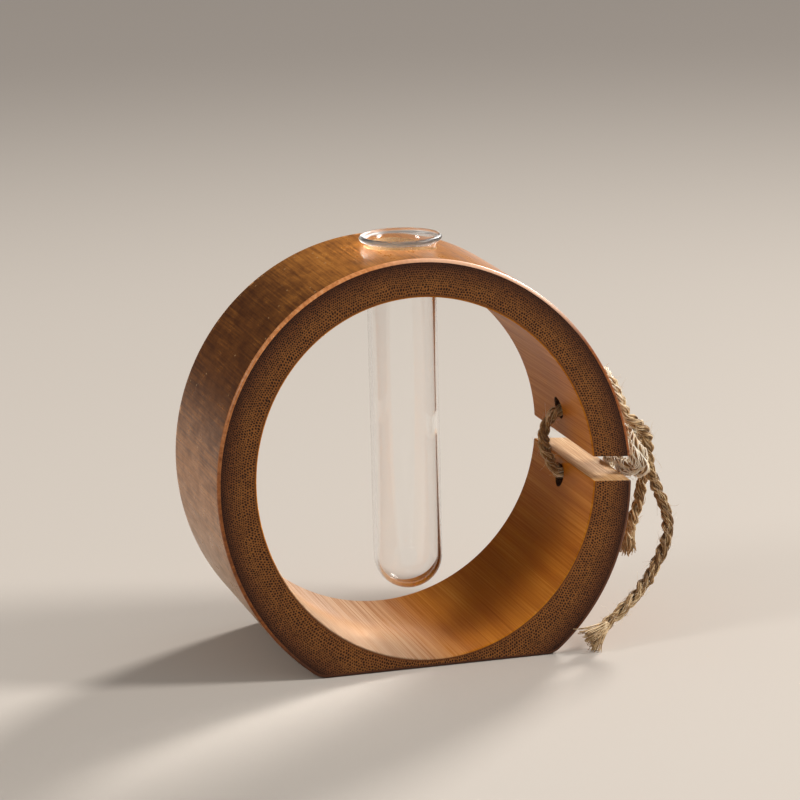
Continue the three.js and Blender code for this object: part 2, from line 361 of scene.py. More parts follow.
# Bamboo materials, in the culm's own coordinates in mm: around it, along it, under its skin, over its bore
def culm_coordinates():
    group = bpy.data.node_groups.new("culm_coordinates", "ShaderNodeTree")
    for name in ("around", "along", "under_skin", "over_bore"):
        group.interface.new_socket(name, in_out="OUTPUT", socket_type="NodeSocketFloat")
    make = Nodes(group)
    place = make.node("SeparateXYZ", {"Vector": make.node("TexCoord", {}).outputs["Object"]}).outputs

    def oval(half_width, half_height, middle_z):
        across = make.math("DIVIDE", place["X"], half_width)
        up = make.math("DIVIDE", make.minus(place["Z"], middle_z), half_height)
        squares = make.plus(make.times(across, across), make.times(up, up))
        return across, up, make.math("SQRT", squares)

    across, up, reach = oval(*CULM)
    bore_reach = oval(*BORE_OVAL)[2]
    # The angle is 0 across from the slit and 90 degrees at the foot, so that its jump falls in the slit
    angle = make.math("ARCTAN2", make.times(up, -1.0), make.times(across, -1.0))
    make.fill(group.nodes.new("NodeGroupOutput"), {
        "around": make.times(angle, culm_half_width / MM),
        "along": make.math("DIVIDE", place["Y"], MM),
        "under_skin": make.times(make.minus(1.0, reach), culm_half_width / MM),
        "over_bore": make.times(make.minus(bore_reach, 1.0), bore_half_width / MM),
    })
    return group


culm_group = culm_coordinates()
degree = math.radians(1) * culm_half_width / MM  # what the culm's around counts for each degree


def culm_places(make):
    return make.node("Group", {}, node_tree=culm_group).outputs


def streaks(make, culm, around, along, detail, roughness=0.55):
    """Noise with one scale around the culm and another along it."""
    place = make.vector(make.times(culm["around"], around), make.times(culm["along"], along))
    return make.noise(place, 1.0, detail, roughness)


def fade(make, culm, first, last, start=0.0, end=1.0):
    """A change from start to end between two angles round the culm, in degrees."""
    return make.step(culm["around"], first * degree, last * degree, start, end)


def patch(make, culm, middle, full, none, strength):
    """A patch round the culm: at its strength up to full degrees from its middle, and gone at none."""
    away = make.math("ABSOLUTE", make.minus(culm["around"], middle * degree))
    return make.step(away, full * degree, none * degree, strength, 0.0)


# Fibre bundles in the end grain, in mm: spacing and radius, and the depths under the skin where these change
FINE_BUNDLES = (0.57, 0.2)
BUNDLES = (0.7, 0.24)
COARSE_BUNDLES = (0.84, 0.285)
FINE_UP_TO = 2.6
COARSE_FROM = 6.4
BUNDLE_SWAY = 1.6
BUNDLE_JITTER = 0.24  # as a share of the spacing


def end_grain_material():
    """Sawn across the fibres: dark bundles in brown pith, fine under the skin and larger by the bore."""
    material, make, surface = start_material("bamboo_end_grain")
    culm = culm_places(make)
    flat = make.vector(culm["around"], culm["under_skin"])
    sway = make.times(make.minus(make.noise(flat, 0.22, 2.0), 0.5), BUNDLE_SWAY)
    depth = make.plus(culm["under_skin"], sway)
    across = make.plus(culm["around"], sway)

    def bundles(spacing, radius):
        """Dots in staggered rows, each a little out of its place."""
        row_height = spacing * math.sqrt(3) / 2
        down = make.math("DIVIDE", depth, row_height)
        row = make.math("FLOOR", down)
        along = make.plus(make.math("DIVIDE", across, spacing), make.times(row, 0.5))
        cell = make.vector(make.math("FLOOR", along), row)
        chance = make.node("TexWhiteNoise", {"Vector": cell}, noise_dimensions="2D").outputs["Color"]
        chance = make.node("SeparateColor", {"Color": chance}).outputs

        def off_middle(place, share, size):
            shift = make.times(make.minus(share, 0.5), BUNDLE_JITTER)
            inside = make.minus(make.math("FRACT", place), 0.5)
            return make.times(make.plus(inside, shift), size)

        x = off_middle(along, chance["Red"], spacing)
        y = off_middle(down, chance["Green"], row_height)
        squares = make.plus(make.times(x, x), make.times(y, y))
        own_size = make.step(chance["Blue"], 0.0, 1.0, 0.85, 1.15)
        reach = make.math("DIVIDE", make.math("SQRT", squares), own_size)
        return make.step(reach, 0.6 * radius, 1.3 * radius, 1.0, 0.0)

    zone = make.plus(culm["under_skin"], make.times(sway, 0.6))
    fine_zone = make.math("LESS_THAN", zone, FINE_UP_TO)
    coarse_zone = make.math("GREATER_THAN", zone, COARSE_FROM)
    dots = make.mix(fine_zone, bundles(*BUNDLES), bundles(*FINE_BUNDLES))
    dots = make.mix(coarse_zone, dots, bundles(*COARSE_BUNDLES))
    lining = make.step(culm["over_bore"], 0.3, 1.0)
    dots = make.times(dots, lining)
    pith = make.ramp(
        make.math("DIVIDE", culm["under_skin"], SIDE_WALL / MM),
        (0.08, colour(0.035, 0.01, 0.005)),
        (0.28, colour(0.145, 0.05, 0.015)),
        (0.55, colour(0.24, 0.09, 0.022)),
        (1.0, colour(0.25, 0.09, 0.02)),
    )
    stain = make.noise(flat, 0.12, 3.0)
    pith = make.mix(make.step(stain, 0.35, 0.7, 0.0, 0.4), pith, colour(0.12, 0.036, 0.01))
    pith = make.mix(lining, colour(0.12, 0.035, 0.009), pith)
    make.fill(surface, {
        "Base Color": make.mix(dots, pith, colour(0.012, 0.004, 0.002)),
        "Roughness": make.plus(0.5, make.times(dots, 0.2)),
        "Specular IOR Level": 0.15,
        "Normal": make.bump(make.minus(1.0, dots), 0.08 * MM, 0.4),
    })
    return material


def skin_material():
    """The culm's outside: mottled caramel, darker at the upper left, stained at the lower left, where its pale tan is
    a painted reflection of the floor.
    """
    material, make, surface = start_material("bamboo_skin")
    culm = culm_places(make)
    flat = make.vector(culm["around"], culm["along"])
    mottle = streaks(make, culm, 0.2, 0.11, 8.0, 0.68)
    fibre = streaks(make, culm, 2.0, 0.03, 6.0, 0.72)
    # Darker at the upper left.
    upper_left_darkening = patch(make, culm, middle=-35, full=7.6, none=38, strength=0.15)
    base = make.ramp(
        make.minus(make.average(mottle, 0.4, fibre), upper_left_darkening),
        (0.28, colour(0.08, 0.022, 0.003)),
        (0.4, colour(0.17, 0.056, 0.009)),
        (0.52, colour(0.37, 0.135, 0.022)),
        (0.66, colour(0.54, 0.225, 0.045)),
    )
    scratch = streaks(make, culm, 0.22, 2.4, 2.0)
    base = make.mix(make.step(scratch, 0.68, 0.76, 0.0, 0.5), base, colour(0.05, 0.016, 0.005))
    cells = make.node("TexVoronoi", {"Vector": flat, "Scale": 0.22}, voronoi_dimensions="2D").outputs
    chance = make.node("SeparateColor", {"Color": cells["Color"]}).outputs["Red"]
    chosen = make.step(chance, 0.88, 0.9)
    specks = make.times(chosen, make.step(cells["Distance"], 0.03, 0.07, 0.8, 0.0))
    base = make.mix(specks, base, colour(0.7, 0.45, 0.22))
    back_edge = make.step(culm["along"], back_y / MM - 2.6, back_y / MM - 1.4)
    chips = make.times(back_edge, make.step(make.noise(flat, 0.3, 2.0), 0.6, 0.64))
    base = make.mix(chips, base, colour(0.72, 0.32, 0.1))
    left_of_foot = fade(make, culm, 70, 110, 1.0, 0.0)
    # A pale tan over the lower left: a painted reflection of the pale floor in the skin's gloss.
    lower = make.times(left_of_foot, fade(make, culm, 0, 45, 0.0, 0.5))
    base = make.mix(lower, base, colour(0.46, 0.28, 0.12))
    stain = make.step(make.noise(flat, 0.4, 5.0, 0.65), 0.54, 0.62, 0.0, 0.5)
    by_front_edge = make.step(culm["along"], -20.0, -8.0, 1.0, 0.0)
    for zone in (left_of_foot, fade(make, culm, -8, 10), by_front_edge):
        stain = make.times(stain, zone)
    base = make.mix(stain, base, colour(0.07, 0.03, 0.011))
    make.fill(surface, {
        "Base Color": base,
        "Roughness": make.step(mottle, 0.3, 0.7, 0.36, 0.26),
        "Specular IOR Level": 0.2,
        "Normal": make.bump(fibre, 0.05 * MM, 0.45),
    })
    return material


def bore_material():
    """The culm's inside: satin orange brown, lined along the fibres; left of the foot pale wear with a painted
    highlight, and painted shade towards the front edge; a painted shadow on the lower right.
    """
    material, make, surface = start_material("bamboo_bore")
    culm = culm_places(make)
    line = streaks(make, culm, 1.7, 0.012, 5.0, 0.68)
    band = streaks(make, culm, 0.16, 0.01, 3.0, 0.5)
    base = make.ramp(
        make.average(line, 0.62, band),
        (0.3, colour(0.23, 0.064, 0.004)),
        (0.43, colour(0.36, 0.113, 0.008)),
        (0.56, colour(0.48, 0.178, 0.016)),
        (0.7, colour(0.6, 0.27, 0.045)),
    )
    # Paler and streaked left of the foot: partly wear, partly a painted highlight where light falls on the floor.
    wear_and_painted_highlight = patch(make, culm, middle=58, full=18, none=46, strength=0.62)
    wear_and_painted_highlight = make.times(wear_and_painted_highlight, make.step(line, 0.38, 0.6, 0.2, 1.1))
    base = make.mix(wear_and_painted_highlight, base, colour(0.74, 0.55, 0.38))
    # Darker towards the front edge there: painted shade.
    painted_front_shade = patch(make, culm, middle=60, full=14, none=45, strength=0.85)
    painted_front_shade = make.times(painted_front_shade, make.step(culm["along"], -18.0, 14.0, 1.0, 0.0))
    base = make.mix(painted_front_shade, base, colour(0.16, 0.1, 0.06))
    # Darker on the lower right, away from the front edge: a painted shadow of the ring's right wall.
    brown = patch(make, culm, middle=135, full=12, none=45, strength=0.45)
    brown = make.times(brown, make.step(culm["along"], -24.0, 0.0))
    base = make.mix(brown, base, colour(0.13, 0.033, 0.003))
    satin = make.step(line, 0.3, 0.7, 0.48, 0.36)
    dulled = make.step(painted_front_shade, 0.0, 0.4, 0.0, 0.5)
    make.fill(surface, {
        "Base Color": base,
        "Roughness": make.plus(satin, dulled),
        "Specular IOR Level": 0.06,
        "Normal": make.bump(line, 0.05 * MM, 0.35),
    })
    return material


def cut_material():
    """Fresh saw cuts along the fibres: pale, raw and dull."""
    material, make, surface = start_material("bamboo_raw_cut")
    culm = culm_places(make)
    place = make.vector(
        make.times(culm["under_skin"], 2.5),
        make.times(culm["along"], 0.05),
        make.times(culm["around"], 2.5),
    )
    fibre = make.noise(place, 1.0, 4.0, 0.65)
    base = make.ramp(
        fibre,
        (0.3, colour(0.31, 0.155, 0.055)),
        (0.5, colour(0.5, 0.29, 0.13)),
        (0.7, colour(0.68, 0.49, 0.28)),
    )
    make.fill(surface, {
        "Base Color": base,
        "Roughness": 0.6,
        "Specular IOR Level": 0.2,
        "Normal": make.bump(fibre, 0.1 * MM, 0.5),
    })
    return material


def drilled_material():
    """The twine holes' walls, dark brown to black."""
    material, make, surface = start_material("bamboo_drilled")
    culm = culm_places(make)
    hole_noise = make.noise(make.vector(culm["around"], culm["along"], culm["under_skin"]), 1.4, 4.0, 0.6)
    base = make.ramp(hole_noise, (0.35, colour(0.03, 0.011, 0.005)), (0.7, colour(0.13, 0.05, 0.018)))
    make.fill(surface, {"Base Color": base, "Roughness": 0.8, "Normal": make.bump(hole_noise, 0.1 * MM, 0.6)})
    return material


def chamfer_material():
    """The outer edge: orange over the crown and palest towards the slit, partly rubbed wear and partly painted
    highlight, and dark lower down.
    """
    material, make, surface = start_material("bamboo_chamfer")
    culm = culm_places(make)
    wear = make.noise(make.vector(culm["around"], culm["along"]), 0.9, 4.0, 0.6)
    dark = make.ramp(
        wear,
        (0.3, colour(0.13, 0.034, 0.006)),
        (0.55, colour(0.26, 0.074, 0.014)),
        (0.8, colour(0.42, 0.15, 0.04)),
    )
    crown_wear_and_highlight = make.ramp(
        wear,
        (0.3, colour(0.46, 0.15, 0.04)),
        (0.55, colour(0.72, 0.29, 0.1)),
        (0.8, colour(0.85, 0.46, 0.24)),
    )
    # Paler and oranger over the crown: partly rubbed wear, partly a painted highlight of light from above.
    on_crown = make.times(fade(make, culm, -60, 14, 1.0, 0.0), fade(make, culm, -140, -105))
    base = make.mix(on_crown, dark, crown_wear_and_highlight)
    # Palest at the crown's right, towards the slit: partly wear, partly a painted highlight.
    wear_and_painted_highlight = patch(make, culm, middle=-112, full=14, none=36, strength=0.75)
    base = make.mix(wear_and_painted_highlight, base, colour(0.82, 0.52, 0.36))
    base = make.mix(fade(make, culm, 32, 52, 0.0, 0.85), base, colour(0.06, 0.018, 0.006))
    make.fill(surface, {
        "Base Color": base,
        "Roughness": 0.33,
        "Specular IOR Level": 0.3,
        "Normal": make.bump(wear, 0.05 * MM, 0.4),
    })
    return material


GLASS_IOR = 1.47
LIP_ROUGHNESS = 0.33


def glass_material():
    """Clear glass, a little uneven along its length as drawn tube is, with a dulled lip."""
    material, make, surface = start_material("clear_glass")
    place = make.node("TexCoord", {}).outputs["Object"]
    drawn_out = make.node("Mapping", {"Vector": place, "Scale": (60.0, 60.0, 8.0)}).outputs[0]
    uneven = make.step(make.noise(drawn_out, 1.0, 2.0), 0.4, 0.8, 0.0, 0.015)
    height = make.node("SeparateXYZ", {"Vector": place}).outputs["Z"]
    clear_below = tube_high.z - 2.4 * LIP_BEAD_RADIUS
    dull_above = tube_high.z - 1.4 * LIP_BEAD_RADIUS
    dulled = make.step(height, clear_below, dull_above, 0.0, LIP_ROUGHNESS)
    make.fill(surface, {
        "Base Color": colour(1.0, 1.0, 1.0),
        "Transmission Weight": 1.0,
        "IOR": GLASS_IOR,
        "Roughness": make.plus(uneven, dulled),
    })
    return material


def jute_material():
    """Straw-coloured bast fibre. Each strand has its own tone, kept on the mesh, which also holds painted light and
    shade.
    """
    material, make, surface = start_material("jute")
    tone = make.node("Attribute", {}, attribute_name="tone").outputs["Fac"]
    place = make.node("TexCoord", {}).outputs["Object"]
    grain = make.noise(place, 900.0, 3.0, 0.6)
    base = make.ramp(
        make.average(tone, 0.65, grain),
        (0.08, colour(0.09, 0.036, 0.009)),
        (0.3, colour(0.31, 0.165, 0.05)),
        (0.55, colour(0.74, 0.55, 0.31)),
        (0.85, colour(0.97, 0.92, 0.8)),
    )
    make.fill(surface, {
        "Base Color": base,
        "Roughness": 0.75,
        "Sheen Weight": 0.25,
        "Sheen Roughness": 0.5,
        "Normal": make.bump(grain, 0.06 * MM, 0.6),
    })
    return material


def add_mesh(name, vertices, faces, materials, face_materials=None, body=None):
    mesh = bpy.data.meshes.new(name)
    mesh.from_pydata([tuple(v) for v in vertices], [], faces)
    for material in materials:
        mesh.materials.append(material)
    if face_materials is not None:
        mesh.polygons.foreach_set("material_index", face_materials)
    mesh.polygons.foreach_set("use_smooth", [True] * len(mesh.polygons))
    mesh.update()
    made = bpy.data.objects.new(name, mesh)
    bpy.context.scene.collection.objects.link(made)
    if body is not None:
        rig.ride(made, body)
    return made


def loop_faces(loops, count):
    """Faces between each closed loop of count points and the next."""
    faces = []
    for i in range(loops - 1):
        for k in range(count):
            a = i * count + k
            b = i * count + (k + 1) % count
            faces.append((a, b, b + count, a + count))
    return faces


# Twine
TWINE_SEED = 11
ROUTE_STEP = 0.5 * MM
POINTS_PER_SPAN = 40
PLY_COUNT = 3
PLY_LAY = 9 * MM  # length of twine in which a ply goes round once
STRAND_LAY = 9 * MM  # length of twine in which a strand goes round its ply once
STRANDS_IN_PLY = 9
LOOSE_IN_PLY = 4
STRAND_SIDES = 5
ply_diameter = TWINE_DIAMETER / (1 + 2 / math.sqrt(3))
ply_offset = ply_diameter / math.sqrt(3)
root_radius = 0.42 * TWINE_DIAMETER  # within which hairs and frayed fibres are rooted

# Shares of a ply's diameter: its core's radius, and a strand's distance out, straying and radius.
# A strand strays over a length of twine, and wavers about its ply by an angle.
PLY_CORE = 0.34
TIGHT_STRAND = {"out": 0.35, "stray": 0.16, "stray_over": 8 * MM, "waver": 0.8, "radius": 0.12}
LOOSE_STRAND = {"out": 0.47, "stray": 0.22, "stray_over": 7 * MM, "waver": 2.0, "radius": 0.05}

# Where the knot's outer turn is pressed flat, in shares of its length, and how far its plies then open
FLAT_MIDDLE = 0.3
FLAT_HALF_LENGTH = 0.33
FLAT_OPENING = 0.6

# How much longer the lay is at the long tail's end, and over what length
END_SLACK = 0.7
END_SLACK_LENGTH = 50 * MM

# How pale the jute is on each of the stretches, with painted light on the runs and the knot's outer turn and painted
# shade on the knot's core, the tails and the held loop, and how much paler, over what length, at the ends
STRETCH_TONES_WITH_PAINTED_LIGHT = [0.08, 0.25, 1.0, 0.1, 0.95, 1.0, 0.1]
END_PALER = 0.35
LONG_END_LENGTH = 30 * MM
SHORT_END_LENGTH = 15 * MM
# The plies' cores are dark: painted shade in the gaps between the plies.
PAINTED_GAP_SHADE_TONE = 0.08

# Loose hairs and frayed ends, with radii and tones at a fibre's root and its tip
FIBRE_HEIGHT = 0.2 * MM  # the least above the table
HAIR_COUNT = 420
HAIR_STEPS = 7
HAIR_SIDES = 3
HAIR_LENGTHS = (1.2 * MM, 4.5 * MM)
HAIR_RADII = (0.05 * MM, 0.02 * MM)
FRAY_STEPS = 9
FRAY_SIDES = 4
FRAY_LEAN = math.radians(12)
FRAY_RADII = (0.17 * MM, 0.1 * MM)
FRAY_TONES = (0.5, 0.3)
# How many fibres, how wide they fan, how long they are, and how much longer at the fan's edges
LONG_FRAY = {"count": 280, "fan": math.radians(48), "length": 6.9 * MM, "notch": 0.5}
SHORT_FRAY = {"count": 190, "fan": math.radians(18), "length": 6 * MM, "notch": -0.3}


def spline_span(before, start, end, after, count):
    """Points of a centripetal Catmull-Rom curve from start up to, and without, end."""
    gaps = [math.sqrt(np.linalg.norm(b - a)) for a, b in ((before, start), (start, end), (end, after))]
    leave = (start - before) / gaps[0] - (end - before) / (gaps[0] + gaps[1]) + (end - start) / gaps[1]
    arrive = (end - start) / gaps[1] - (after - start) / (gaps[1] + gaps[2]) + (after - end) / gaps[2]
    leave = leave * gaps[1]
    arrive = arrive * gaps[1]
    t = np.linspace(0, 1, count, endpoint=False)[:, None]
    square = 3 * end - 3 * start - 2 * leave - arrive
    cube = 2 * start - 2 * end + leave + arrive
    return start + leave * t + square * t ** 2 + cube * t ** 3


class Route:
    """The twine's centreline, with a frame that doesn't turn about it, at even steps."""

    def __init__(self):
        points = np.array([point for stretch in STRETCHES for point in stretch])
        ends = np.vstack([2 * points[0] - points[1], points, 2 * points[-1] - points[-2]])
        spans = [spline_span(*ends[i:i + 4], POINTS_PER_SPAN) for i in range(len(points) - 1)]
        fine = np.vstack(spans + [points[-1:]])
        far = np.concatenate([[0], np.cumsum(np.linalg.norm(np.diff(fine, axis=0), axis=1))])
        self.length = far[-1]
        self.at = np.linspace(0, self.length, int(round(self.length / ROUTE_STEP)) + 1)
        self.points = np.column_stack([np.interp(self.at, far, fine[:, k]) for k in range(3)])
        firsts = np.cumsum([0] + [len(stretch) for stretch in STRETCHES[:-1]])
        self.starts = [far[i * POINTS_PER_SPAN] for i in firsts]
        self.tangents = np.gradient(self.points, axis=0)
        self.tangents /= np.linalg.norm(self.tangents, axis=1)[:, None]
        self.sides = np.zeros_like(self.points)
        side = np.cross(self.tangents[0], (0, 0, 1))
        for i, tangent in enumerate(self.tangents):
            side = side - tangent * np.dot(side, tangent)
            side = side / np.linalg.norm(side)
            self.sides[i] = side
        self.ups = np.cross(self.tangents, self.sides)

    def start_of(self, stretch):
        """How far along the twine a stretch starts."""
        return self.starts[STRETCHES.index(stretch)]

    def outward(self, angle):
        """Directions at an angle about the centreline, one for each step."""
        return np.cos(angle)[:, None] * self.sides + np.sin(angle)[:, None] * self.ups


def drift(draw, along, wavelength, size):
    """A slow random change along the twine."""
    waves = [(draw.uniform(0.6, 1.6), draw.uniform(0, 2 * math.pi)) for _ in range(3)]
    total = sum(np.sin(2 * math.pi * along / wavelength * rate + phase) for rate, phase in waves)
    return total * size / len(waves)


def tube_rings(line, radius, sides):
    """Vertices and faces of a closed tube along a line, with a radius at each point."""
    tangents = np.gradient(line, axis=0)
    tangents /= np.linalg.norm(tangents, axis=1)[:, None]
    side = np.cross(tangents[0], (0.31, 0.52, 0.8))
    turn = np.linspace(0, 2 * math.pi, sides, endpoint=False)
    vertices = np.zeros((len(line), sides, 3))
    for i, tangent in enumerate(tangents):
        side = side - tangent * np.dot(side, tangent)
        side = side / np.linalg.norm(side)
        up = np.cross(tangent, side)
        vertices[i] = line[i] + radius[i] * (np.cos(turn)[:, None] * side + np.sin(turn)[:, None] * up)
    faces = loop_faces(len(line), sides)
    last = (len(line) - 1) * sides
    faces.append(tuple(range(sides - 1, -1, -1)))
    faces.append(tuple(range(last, last + sides)))
    return vertices.reshape(-1, 3), faces


class Bundle:
    """Many tubes gathered into one mesh, each with its own tone."""

    def __init__(self):
        self.vertices = []
        self.faces = []
        self.tones = []

    def add(self, line, radius, sides, tone):
        first = len(self.vertices)
        vertices, faces = tube_rings(line, radius, sides)
        self.vertices.extend(vertices)
        self.faces.extend(tuple(first + k for k in face) for face in faces)
        self.tones.extend(np.repeat(np.broadcast_to(tone, len(line)), sides))

    def mesh(self, name, material):
        made = add_mesh(name, self.vertices, self.faces, [material], body="ring")
        attribute = made.data.attributes.new("tone", "FLOAT", "POINT")
        attribute.data.foreach_set("value", self.tones)
        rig.slot(made, "jute")
        return made


def opened(route):
    """How far apart the plies lie: 1 as laid, and more where the knot's outer turn is pressed flat."""
    start = route.start_of(KNOT_WRAP)
    turn_length = route.start_of(SHORT_TAIL) - start
    away = (route.at - start - FLAT_MIDDLE * turn_length) / (FLAT_HALF_LENGTH * turn_length)
    return 1 + FLAT_OPENING * np.exp(-(away ** 4))


def ply_turns(route, spread):
    """How often a ply has gone round by each step. The lay is longer at the long end and where it opens."""
    slack = 1 + END_SLACK * np.clip(1 - route.at / END_SLACK_LENGTH, 0, 1)
    lay = PLY_LAY * slack * spread ** 3
    return np.concatenate([[0], np.cumsum(np.diff(route.at) / lay[1:])])


def paleness(route):
    """How pale the jute is at each step, painted light and shade included."""
    ends = route.starts[1:] + [route.length]
    middles = (np.array(route.starts) + np.array(ends)) / 2
    from_end = np.minimum(route.at / LONG_END_LENGTH, (route.length - route.at) / SHORT_END_LENGTH)
    return np.interp(route.at, middles, STRETCH_TONES_WITH_PAINTED_LIGHT) + END_PALER * np.clip(1 - from_end, 0, 1)


def strand_lines(route, draw):
    """Each strand's line along the whole route, its radius and its tone."""
    spread = opened(route)
    turns = ply_turns(route, spread)
    pale = paleness(route)
    for ply in range(PLY_COUNT):
        ply_angle = -2 * math.pi * (turns + ply / PLY_COUNT) + drift(draw, route.at, 25 * MM, 0.6)
        from_middle = ply_offset * spread * (1 + drift(draw, route.at, 14 * MM, 0.25))
        centre = route.points + from_middle[:, None] * route.outward(ply_angle)
        # Each ply's core is dark: painted shade in the gaps between the plies.
        yield centre, ply_diameter * PLY_CORE * spread, np.full(len(route.at), PAINTED_GAP_SHADE_TONE)
        for strand in range(STRANDS_IN_PLY + LOOSE_IN_PLY):
            kind = TIGHT_STRAND if strand < STRANDS_IN_PLY else LOOSE_STRAND
            angle = ply_angle + 2 * math.pi * (route.at / STRAND_LAY + strand / STRANDS_IN_PLY)
            angle = angle + drift(draw, route.at, 10 * MM, kind["waver"])
            out = kind["out"] + drift(draw, route.at, kind["stray_over"], kind["stray"])
            line = centre + (ply_diameter * out * spread)[:, None] * route.outward(angle)
            radius = ply_diameter * kind["radius"] * (1 + drift(draw, route.at, 5 * MM, 0.5))
            tone = pale + draw.uniform(-0.28, 0.28) + drift(draw, route.at, 6 * MM, 0.25)
            yield line, radius, np.clip(tone, 0, 1)


def twine_stretch(name, route, strands, start, end, material):
    """A piece of the twine between two distances along it, and its centreline's points."""
    first, last = np.searchsorted(route.at, (start, end))
    part = slice(first, last + 1)
    bundle = Bundle()
    for line, radius, tone in strands:
        bundle.add(line[part], radius[part], STRAND_SIDES, tone[part])
    return bundle.mesh(name, material), route.points[part]


def above_table(line):
    """A fibre's points, with none of them in the table."""
    line = np.array(line)
    line[:, 2] = np.maximum(line[:, 2], FIBRE_HEIGHT)
    return line


def twine_hairs(route, material, draw):
    """Loose fibres that stand off the twine, all along it."""
    bundle = Bundle()
    for _ in range(HAIR_COUNT):
        i = draw.randrange(2, len(route.at) - 2)
        angle = draw.uniform(0, 2 * math.pi)
        outward = math.cos(angle) * route.sides[i] + math.sin(angle) * route.ups[i]
        along = route.tangents[i] * draw.choice((-1, 1))
        heading = outward * draw.uniform(0.2, 0.8) + along * draw.uniform(0.5, 1.0)
        curl = np.array([draw.gauss(0, 0.35) for _ in range(3)])
        length = draw.uniform(*HAIR_LENGTHS)
        line = [route.points[i] + outward * root_radius]
        for _ in range(HAIR_STEPS):
            heading = heading / np.linalg.norm(heading)
            line.append(line[-1] + heading * length / HAIR_STEPS)
            heading = heading + 3 * curl / HAIR_STEPS
        radius = np.linspace(*HAIR_RADII, HAIR_STEPS + 1)
        bundle.add(above_table(line), radius, HAIR_SIDES, draw.uniform(0.35, 0.95))
    return bundle.mesh("twine_loose_hairs", material)


def frayed_end(name, route, at_start, fray, material, draw):
    """Fibres that fan out from an end of the twine, in the upright plane that the end lies in."""
    i = 0 if at_start else len(route.at) - 1
    outward = route.tangents[i] * (-1 if at_start else 1)
    side = np.cross((0, 0, 1), outward)
    side = side / np.linalg.norm(side)
    across = np.cross(side, outward)
    bundle = Bundle()
    for _ in range(fray["count"]):
        angle = draw.uniform(0, 2 * math.pi)
        reach = math.sqrt(draw.random())
        root = route.points[i] - outward * draw.uniform(1.5, 3.5) * MM
        root = root + root_radius * reach * (math.cos(angle) * side + math.sin(angle) * across)
        share = 0.6 * reach * math.sin(angle) + draw.uniform(-0.5, 0.5)
        lean = math.tan(draw.gauss(0, FRAY_LEAN))
        length = fray["length"] * (1 + fray["notch"] * (abs(share) - 0.5) + draw.uniform(-0.12, 0.12))
        wave = draw.uniform(0, 2 * math.pi)
        line = [root]
        for step in range(1, FRAY_STEPS + 1):
            bent = (step / FRAY_STEPS) ** 0.6
            fan = fray["fan"] * share * bent
            heading = math.cos(fan) * outward + math.sin(fan) * across + lean * bent * side
            heading = heading + across * 0.12 * math.sin(wave + 5 * bent)
            heading = heading / np.linalg.norm(heading)
            line.append(line[-1] + heading * length / FRAY_STEPS)
        radius = np.linspace(*FRAY_RADII, FRAY_STEPS + 1) * draw.uniform(0.8, 1.2)
        tones = np.linspace(*FRAY_TONES, FRAY_STEPS + 1) + draw.uniform(-0.2, 0.2)
        bundle.add(above_table(line), radius, FRAY_SIDES, np.clip(tones, 0, 1))
    return bundle.mesh(name, material)


def make_twine():
    draw = random.Random(TWINE_SEED)
    jute = jute_material()
    route = Route()
    strands = list(strand_lines(route, draw))
    loop_start = route.start_of(INNER_LOOP)
    lower_start = route.start_of(LOWER_RUN)

    def stretch(name, start, end):
        return twine_stretch(name, route, strands, start, end, jute)

    upper, upper_path = stretch("twine_upper_and_long_tail", 0, loop_start)
    loop, _ = stretch("twine_held_loop", loop_start, lower_start)
    lower, lower_path = stretch("twine_lower_and_short_tail", lower_start, route.length)
    hairs = twine_hairs(route, jute, draw)
    long_fray = frayed_end("twine_long_fray", route, True, LONG_FRAY, jute, draw)
    short_fray = frayed_end("twine_short_fray", route, False, SHORT_FRAY, jute, draw)
    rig.replaces(upper, "twine_upper_run", "twine_long_tail", "twine_knot")
    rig.replaces(loop, "twine_inner_loop")
    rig.replaces(lower, "twine_lower_run", "twine_short_tail")
    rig.cord(
        upper, exit=INNER_LOOP[0], length=loop_start, diameter=TWINE_DIAMETER, far_end="bare",
        stiffness="limp", lay="hanging", path=upper_path[::-1], with_pieces=[long_fray, hairs],
    )
    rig.cord(
        lower, exit=LOWER_RUN[0], length=route.length - lower_start, diameter=TWINE_DIAMETER,
        far_end="bare", stiffness="limp", lay="hanging", path=lower_path, with_pieces=[short_fray],
    )


# Bamboo ring
END_GRAIN, SKIN, BORE, CUT, CHAMFER, DRILLED = range(6)
RIGHT_STEPS = 56
FOOT_STEPS = 44
CORNER_STEPS = 8
LEFT_STEPS = 220
WALL_ROWS = 25
FACE_ROWS = 9
ROUND_STEPS = 5
ON_FOOT = 0.01 * MM  # below which a point counts as on the foot
CUTTER_MARGIN = 4 * MM
TUBE_HOLE_SEGMENTS = 96
TWINE_HOLE_SEGMENTS = 48
SHARP_ANGLE = math.radians(35)


def oval_point(half_width, half_height, middle_z, angle):
    return np.array([half_width * math.cos(angle), middle_z + half_height * math.sin(angle)])


def slit_meets_oval(half_width, half_height, middle_z, offset):
    """Angle at which a line along the slit, that far above its middle, leaves an oval on the +X side."""
    along = np.array([math.cos(SLIT_TILT), -math.sin(SLIT_TILT)])
    across = np.array([math.sin(SLIT_TILT), math.cos(SLIT_TILT)])
    middle = np.array([culm_half_width - SIDE_WALL / 2, culm_middle_z - SLIT_DROP])
    start = middle + across * offset - np.array([0, middle_z])
    scale = np.array([1 / half_width, 1 / half_height])
    p, d = start * scale, along * scale
    a, b, c = np.dot(d, d), 2 * np.dot(p, d), np.dot(p, p) - 1
    hit = p + d * (-b + math.sqrt(b * b - 4 * a * c)) / (2 * a)
    return math.atan2(hit[1], hit[0])


